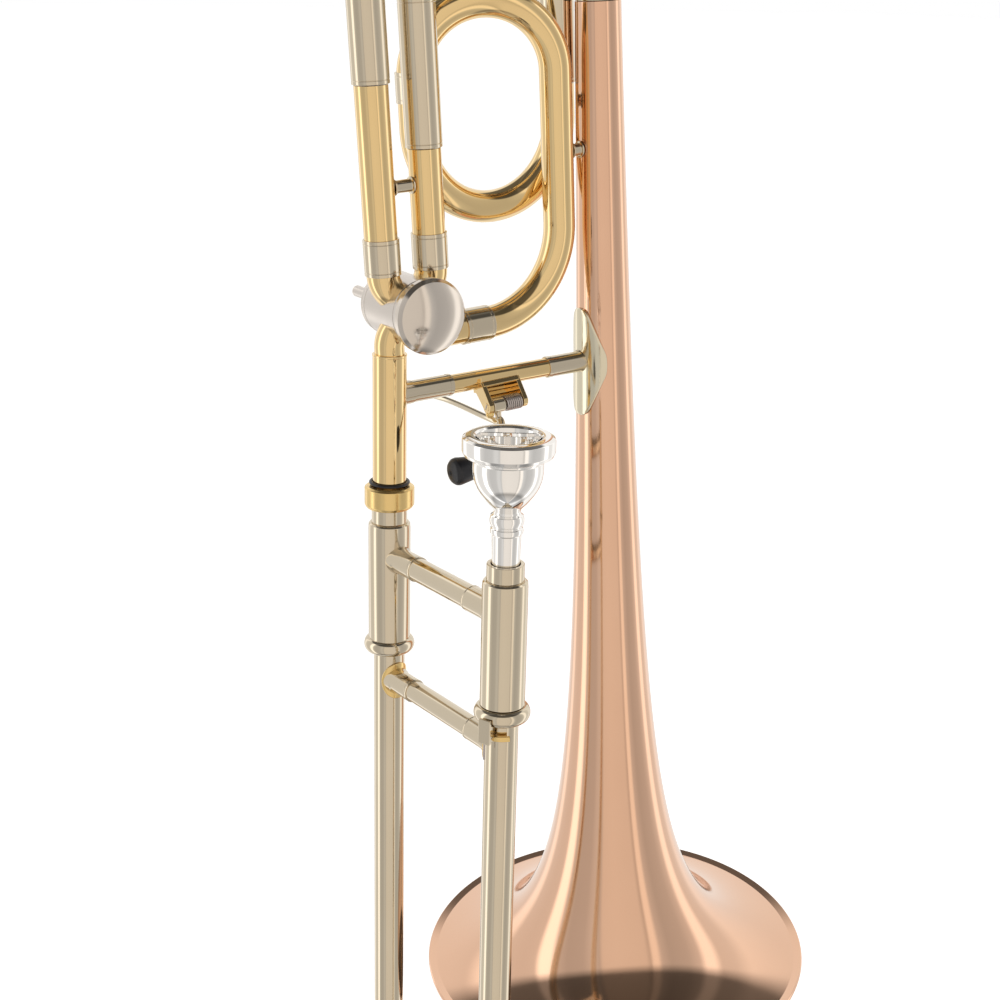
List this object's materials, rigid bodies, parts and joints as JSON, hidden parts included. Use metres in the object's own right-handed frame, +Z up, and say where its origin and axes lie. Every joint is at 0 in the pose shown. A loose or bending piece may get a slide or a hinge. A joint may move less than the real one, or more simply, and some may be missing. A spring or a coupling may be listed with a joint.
{
  "type": "tenor trombone",
  "caption": "Tenor trombone with rotary valve attachment: hand slide, gooseneck, wrapped valve tubing, tuning slides, flared bell, thumb lever and mouthpiece.",
  "frame": {"origin": "on the axis of the left (bell side) slide tube, level with the axis of the inner slide's hand brace", "axes": "+Z up along the slide tubes with bell and slide pointing down, +X from the slide towards the bell, mouthpiece tube towards -Y"},
  "size_m": [0.2851, 0.222, 1.1974],
  "materials": {
    "nickel_silver": "polished, lacquered nickel silver",
    "yellow_brass": "clear lacquered yellow brass, polished",
    "gold_brass": "clear lacquered gold brass, pinkish, polished",
    "gold_plate": "gold coloured, satin to polished",
    "silver_plate": "bright silver plate",
    "satin_nickel": "brushed nickel",
    "spring_steel": "dark spring steel",
    "black_rubber": "matt black rubber",
    "cork": "natural cork"
  },
  "bodies": {
    "bell_section": {"bell": "gold_brass", "bell_brace_tube": "yellow_brass", "bell_brace_ferrule_left": "nickel_silver", "bell_brace_ferrule_right": "nickel_silver", "bell_brace_flange": "nickel_silver", "bell_receiver": "nickel_silver", "neck_receiver": "nickel_silver", "neckpipe": "yellow_brass", "neck_ferrule": "nickel_silver", "f_lead_tube": "yellow_brass", "f_lead_ferrule": "nickel_silver", "f_lower_bow": "yellow_brass", "f_receiver_front": "nickel_silver", "f_receiver_rear": "nickel_silver", "f_return_tube": "yellow_brass", "f_return_ferrule": "nickel_silver", "upper_brace": "nickel_silver", "gooseneck": "yellow_brass", "rubber_ring": "black_rubber", "valve_casing": "satin_nickel", "valve_cap": "satin_nickel", "front_bearing_plate": "yellow_brass", "rear_bearing_plate": "satin_nickel", "lever_saddle": "yellow_brass", "lever_hinge_pin": "nickel_silver", "lever_spring": "spring_steel"},
    "slide_section": {"cork_barrel_left": "nickel_silver", "cork_barrel_right": "nickel_silver", "inner_slide_tube_left": "nickel_silver", "inner_slide_tube_right": "nickel_silver", "bumper_cork_left": "cork", "bumper_cork_right": "cork", "leadpipe": "yellow_brass", "hand_brace": "nickel_silver"},
    "outer_slide": {"outer_slide_tube_left": "nickel_silver", "outer_slide_tube_right": "nickel_silver", "slide_brace": "nickel_silver", "slide_brace_flange_left": "gold_plate", "slide_brace_flange_right": "gold_plate", "lock_hook": "nickel_silver", "slide_bow": "nickel_silver", "bow_guard": "nickel_silver", "bumper_tip": "black_rubber", "water_key_saddle": "nickel_silver", "water_key_screw": "spring_steel"},
    "slide_lock_ring": {"slide_lock_ring": "nickel_silver"},
    "lock_nut": {"lock_nut": "gold_plate"},
    "mouthpiece": {"mouthpiece": "silver_plate"},
    "main_tuning_slide": {"main_slide_crook": "yellow_brass", "main_slide_leg_bell": "nickel_silver", "main_slide_leg_neck": "nickel_silver"},
    "f_tuning_slide": {"f_slide_crook": "yellow_brass", "f_slide_leg_front": "nickel_silver", "f_slide_leg_rear": "nickel_silver"},
    "thumb_lever": {"thumb_lever": "nickel_silver", "thumb_touch": "black_rubber"},
    "rotor": {"rotor": "satin_nickel", "stop_arm": "nickel_silver"},
    "link_rod": {"link_rod": "nickel_silver"},
    "water_key": {"water_key_lever": "nickel_silver"}
  },
  "joints": [
    {"name": "slide_angle", "type": "hinge", "parent": "bell_section", "child": "slide_section", "pos_m": [0, 0, 0.033], "axis": [0, 0, 1], "range_deg": [-15, 15]},
    {"name": "hand_slide", "type": "slide", "parent": "slide_section", "child": "outer_slide", "axis": [0, 0, -1], "range_m": [0, 0.585]},
    {"name": "slide_lock", "type": "hinge", "parent": "slide_section", "child": "slide_lock_ring", "pos_m": [0.00732, -0.09301, -0.0462], "axis": [0, 0, 1], "range_deg": [0, 25]},
    {"name": "lock_nut_turn", "type": "hinge", "parent": "bell_section", "child": "lock_nut", "pos_m": [0, 0, 0.03], "axis": [0, 0, 1], "range_deg": [0, 360]},
    {"name": "mouthpiece_pull", "type": "slide", "parent": "slide_section", "child": "mouthpiece", "axis": [0, 0, 1], "range_m": [0, 0.06]},
    {"name": "main_tuning", "type": "slide", "parent": "bell_section", "child": "main_tuning_slide", "axis": [-0.0732, 0, 0.9973], "range_m": [0, 0.055]},
    {"name": "f_tuning", "type": "slide", "parent": "bell_section", "child": "f_tuning_slide", "axis": [-0.0732, 0, 0.9973], "range_m": [0, 0.035]},
    {"name": "thumb_lever", "type": "hinge", "parent": "bell_section", "child": "thumb_lever", "pos_m": [0.05525, -0.011, 0.07137], "axis": [0.9973, 0, 0.0732], "range_deg": [0, 15], "stiffness_Nm_per_rad": 0.25, "springref_deg": -14.32},
    {"name": "rotor_turn", "type": "hinge", "parent": "bell_section", "child": "rotor", "pos_m": [0.01056, 0, 0.12003], "axis": [0, -1, 0], "range_deg": [0, 90]},
    {"name": "link_rod", "type": "hinge", "parent": "thumb_lever", "child": "link_rod", "pos_m": [0.02929, 0.05, 0.06565], "axis": [0.9973, 0, 0.0732], "range_deg": [-20, 0]},
    {"name": "water_key", "type": "hinge", "parent": "outer_slide", "child": "water_key", "pos_m": [-0.00107, 0.01356, -0.713], "axis": [0.9969, 0.0785, 0], "range_deg": [0, 12], "stiffness_Nm_per_rad": 0.03, "springref_deg": -28.65}
  ],
  "couplings": [
    {"joint": "rotor_turn", "follows": "thumb_lever", "ratio": 6},
    {"joint": "link_rod", "follows": "thumb_lever", "ratio": -1.09}
  ]
}
